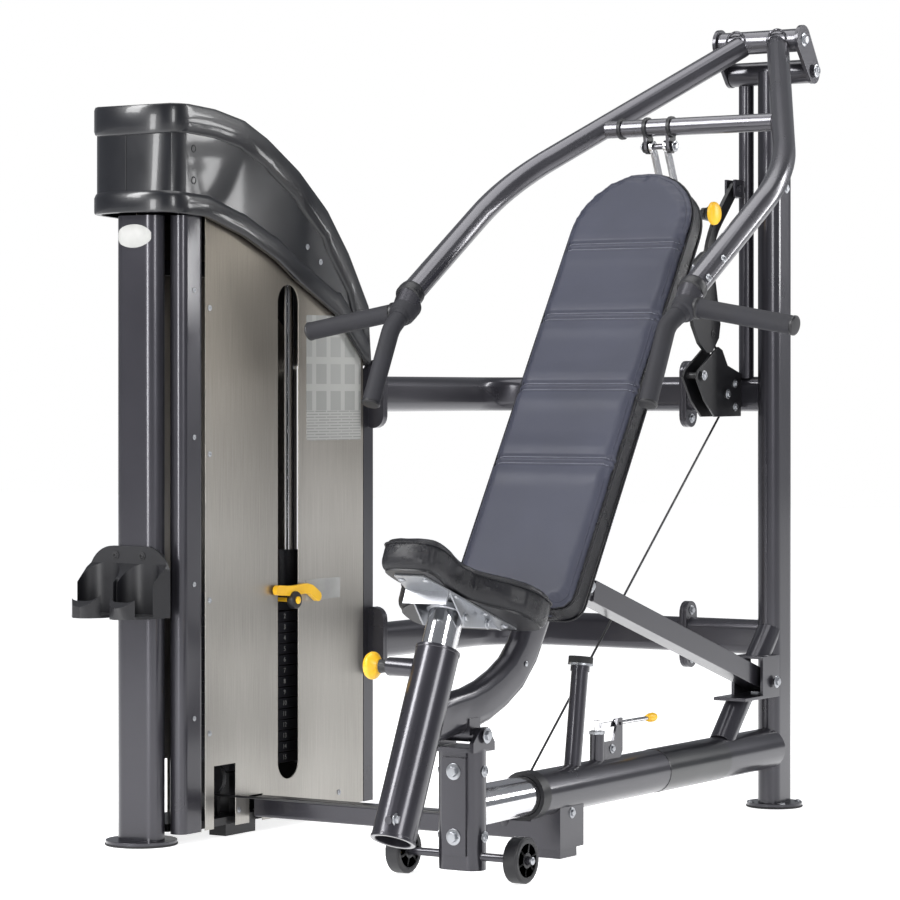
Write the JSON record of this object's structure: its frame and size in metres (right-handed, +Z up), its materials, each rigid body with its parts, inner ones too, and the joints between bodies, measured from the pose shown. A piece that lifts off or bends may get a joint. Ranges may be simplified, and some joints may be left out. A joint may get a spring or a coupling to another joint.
{
  "type": "chest press machine",
  "caption": "Selectorised chest press: weight tower with curved cover, welded tube frame, overhead press arm with grips, sliding tilting bench with padded back and saddle seat.",
  "frame": {"origin": "centre of the rear upright's round foot, on the floor", "axes": "+Z up; the user sits facing -Y; the weight tower stands on the -X side; +X points away from the tower"},
  "size_m": [1.6706, 1.8718, 1.958],
  "materials": {
    "frame_paint": "gloss powder coat, metallic grey",
    "arm_paint": "gloss metallic light grey",
    "black_steel": "satin black",
    "chrome": "polished",
    "zinc": "zinc plated",
    "panel_steel": "brushed sheet",
    "cover_plastic": "gloss moulded",
    "black_plastic": "matt moulded",
    "grip_rubber": "matt",
    "foot_rubber": "matt",
    "back_vinyl": "blue-grey vinyl",
    "seat_vinyl": "black vinyl",
    "yellow_plastic": "satin",
    "stack_iron": "black painted",
    "cable_nylon": "black nylon coated steel cable"
  },
  "bodies": {
    "frame": {"rear_upright": "frame_paint", "upper_stub": "frame_paint", "lower_stub": "frame_paint", "upper_cross_tube": "frame_paint", "lower_cross_tube": "frame_paint", "base_tube": "frame_paint", "diagonal_brace": "frame_paint", "bumper_post": "frame_paint", "low_cross_tube": "frame_paint", "tower_front_post": "frame_paint", "tower_rear_post": "frame_paint", "side_rail_near": "frame_paint", "side_rail_far": "frame_paint", "pulley_housing": "black_steel", "tower_base_frame": "black_steel", "guide_rod_front": "chrome", "guide_rod_rear": "chrome", "side_panel_near": "panel_steel", "side_panel_far": "panel_steel", "top_cover": "cover_plastic", "base_collar": "black_plastic", "accessory_holder": "black_plastic", "bumper_cap": "foot_rubber", "weight_stack": "stack_iron", "cable": "cable_nylon", "cable_rocker_end": "cable_nylon", "cable_stack_end": "cable_nylon"},
    "press_arm": {"yoke_tube": "arm_paint", "link_plate_left": "frame_paint", "link_plate_right": "frame_paint", "arm_crossbar": "arm_paint", "arm_left": "arm_paint", "arm_right": "arm_paint", "grip_left_outer": "grip_rubber", "grip_left_forward": "grip_rubber", "grip_right_outer": "grip_rubber", "grip_right_forward": "grip_rubber"},
    "push_rod": {"push_rod": "chrome"},
    "rocker": {"rocker_lever": "black_steel"},
    "rocker_pin": {"rocker_pull_pin": "yellow_plastic"},
    "stack_head": {"head_plate": "stack_iron"},
    "selector": {"selector_pin": "yellow_plastic"},
    "carriage": {"carriage_post": "frame_paint", "carriage_tube": "chrome"},
    "wheel_left": {"wheel_left": "black_plastic"},
    "wheel_right": {"wheel_right": "black_plastic"},
    "bench": {"seat_outer_tube": "frame_paint", "backrest_tube": "frame_paint", "backrest_pad": "back_vinyl"},
    "seat": {"seat_post": "chrome", "seat_bracket": "zinc", "seat_pad": "seat_vinyl"},
    "seat_pin": {"seat_pull_pin": "yellow_plastic"},
    "strut": {"backrest_strut": "frame_paint"},
    "lock_lever": {"lock_lever": "chrome"},
    "lock_plunger": {"lock_plunger": "chrome"},
    "housing_pulley": {"housing_pulley": "black_plastic"},
    "lower_pulley": {"lower_pulley": "black_plastic"},
    "tower_low_pulley": {"tower_low_pulley": "black_plastic"},
    "top_pulley": {"top_pulley": "black_plastic"}
  },
  "joints": [
    {"name": "press_arm_pivot", "type": "hinge", "parent": "frame", "child": "press_arm", "pos_m": [0, -0.016, 1.848], "axis": [-1, 0, 0], "range_deg": [0, 26]},
    {"name": "rocker_pivot", "type": "hinge", "parent": "frame", "child": "rocker", "pos_m": [-0.087, -0.055, 1.558], "axis": [-1, 0, 0], "range_deg": [0, 38], "deforming": ["cable_rocker_end"]},
    {"name": "push_rod_pivot", "type": "hinge", "parent": "press_arm", "child": "push_rod", "pos_m": [-0.087, -0.443, 1.64], "axis": [1, 0, 0], "range_deg": [0, 20.5]},
    {"name": "rocker_pull_pin_slide", "type": "slide", "parent": "rocker", "child": "rocker_pin", "axis": [1, 0, 0], "range_m": [0, 0.012], "stiffness_N_per_m": 500, "springref_m": -0.01},
    {"name": "stack_lift", "type": "slide", "parent": "frame", "child": "stack_head", "axis": [0, 0, 1], "range_m": [0, 0.225], "deforming": ["cable_stack_end"]},
    {"name": "selector_pull", "type": "slide", "parent": "stack_head", "child": "selector", "axis": [1, 0, 0], "range_m": [0, 0.06]},
    {"name": "carriage_slide", "type": "slide", "parent": "frame", "child": "carriage", "axis": [0, 1, 0], "range_m": [-0.05, 0.18]},
    {"name": "wheel_left_spin", "type": "hinge", "parent": "carriage", "child": "wheel_left", "pos_m": [-0.1485, -1.49, 0.05], "axis": [1, 0, 0], "continuous": true},
    {"name": "wheel_right_spin", "type": "hinge", "parent": "carriage", "child": "wheel_right", "pos_m": [0.1485, -1.49, 0.05], "axis": [1, 0, 0], "continuous": true},
    {"name": "bench_tilt", "type": "hinge", "parent": "carriage", "child": "bench", "pos_m": [0, -1.482, 0.309], "axis": [1, 0, 0], "range_deg": [-5.7, 20]},
    {"name": "strut_pivot", "type": "hinge", "parent": "frame", "child": "strut", "pos_m": [0, -0.09, 0.323], "axis": [-1, 0, 0], "range_deg": [-2.8, 10]},
    {"name": "seat_slide", "type": "slide", "parent": "bench", "child": "seat", "axis": [0, 0.4128, 0.9108], "range_m": [-0.03, 0.1]},
    {"name": "seat_pull_pin_slide", "type": "slide", "parent": "bench", "child": "seat_pin", "axis": [-1, 0, 0], "range_m": [0, 0.012], "stiffness_N_per_m": 500, "springref_m": -0.01},
    {"name": "lock_lever_pivot", "type": "hinge", "parent": "frame", "child": "lock_lever", "pos_m": [0.0015, -0.815, 0.277], "axis": [-1, 0, 0], "range_deg": [0, 15], "stiffness_Nm_per_rad": 2, "springref_deg": -29.79},
    {"name": "lock_plunger_slide", "type": "slide", "parent": "frame", "child": "lock_plunger", "axis": [0, 0, 1], "range_m": [0, 0.016]},
    {"name": "housing_pulley_spin", "type": "hinge", "parent": "frame", "child": "housing_pulley", "pos_m": [-0.098, -0.112, 1.04], "axis": [1, 0, 0], "range_deg": [0, 320]},
    {"name": "lower_pulley_spin", "type": "hinge", "parent": "frame", "child": "lower_pulley", "pos_m": [-0.10837, -1.17015, 0.12646], "axis": [0, -0.6269, 0.7791], "range_deg": [0, 270]},
    {"name": "tower_low_pulley_spin", "type": "hinge", "parent": "frame", "child": "tower_low_pulley", "pos_m": [-0.8744, -1.208, 0.1366], "axis": [0, -1, 0], "range_deg": [0, 320]},
    {"name": "top_pulley_spin", "type": "hinge", "parent": "frame", "child": "top_pulley", "pos_m": [-0.915, -1.094, 1.48], "axis": [1, 0, 0], "range_deg": [0, 115]}
  ],
  "couplings": [
    {"joint": "rocker_pivot", "follows": "press_arm_pivot", "ratio": 1.44},
    {"joint": "push_rod_pivot", "follows": "press_arm_pivot", "ratio": 0.76},
    {"joint": "stack_lift", "follows": "press_arm_pivot", "m_per_rad": 0.484},
    {"joint": "housing_pulley_spin", "follows": "press_arm_pivot", "ratio": 11.9},
    {"joint": "lower_pulley_spin", "follows": "press_arm_pivot", "ratio": 9.96},
    {"joint": "tower_low_pulley_spin", "follows": "press_arm_pivot", "ratio": 11.9},
    {"joint": "top_pulley_spin", "follows": "press_arm_pivot", "ratio": 4.22},
    {"joint": "bench_tilt", "follows": "carriage_slide", "rad_per_m": 1.929},
    {"joint": "strut_pivot", "follows": "carriage_slide", "rad_per_m": 0.953},
    {"joint": "lock_plunger_slide", "follows": "lock_lever_pivot", "m_per_rad": 0.0573}
  ]
}
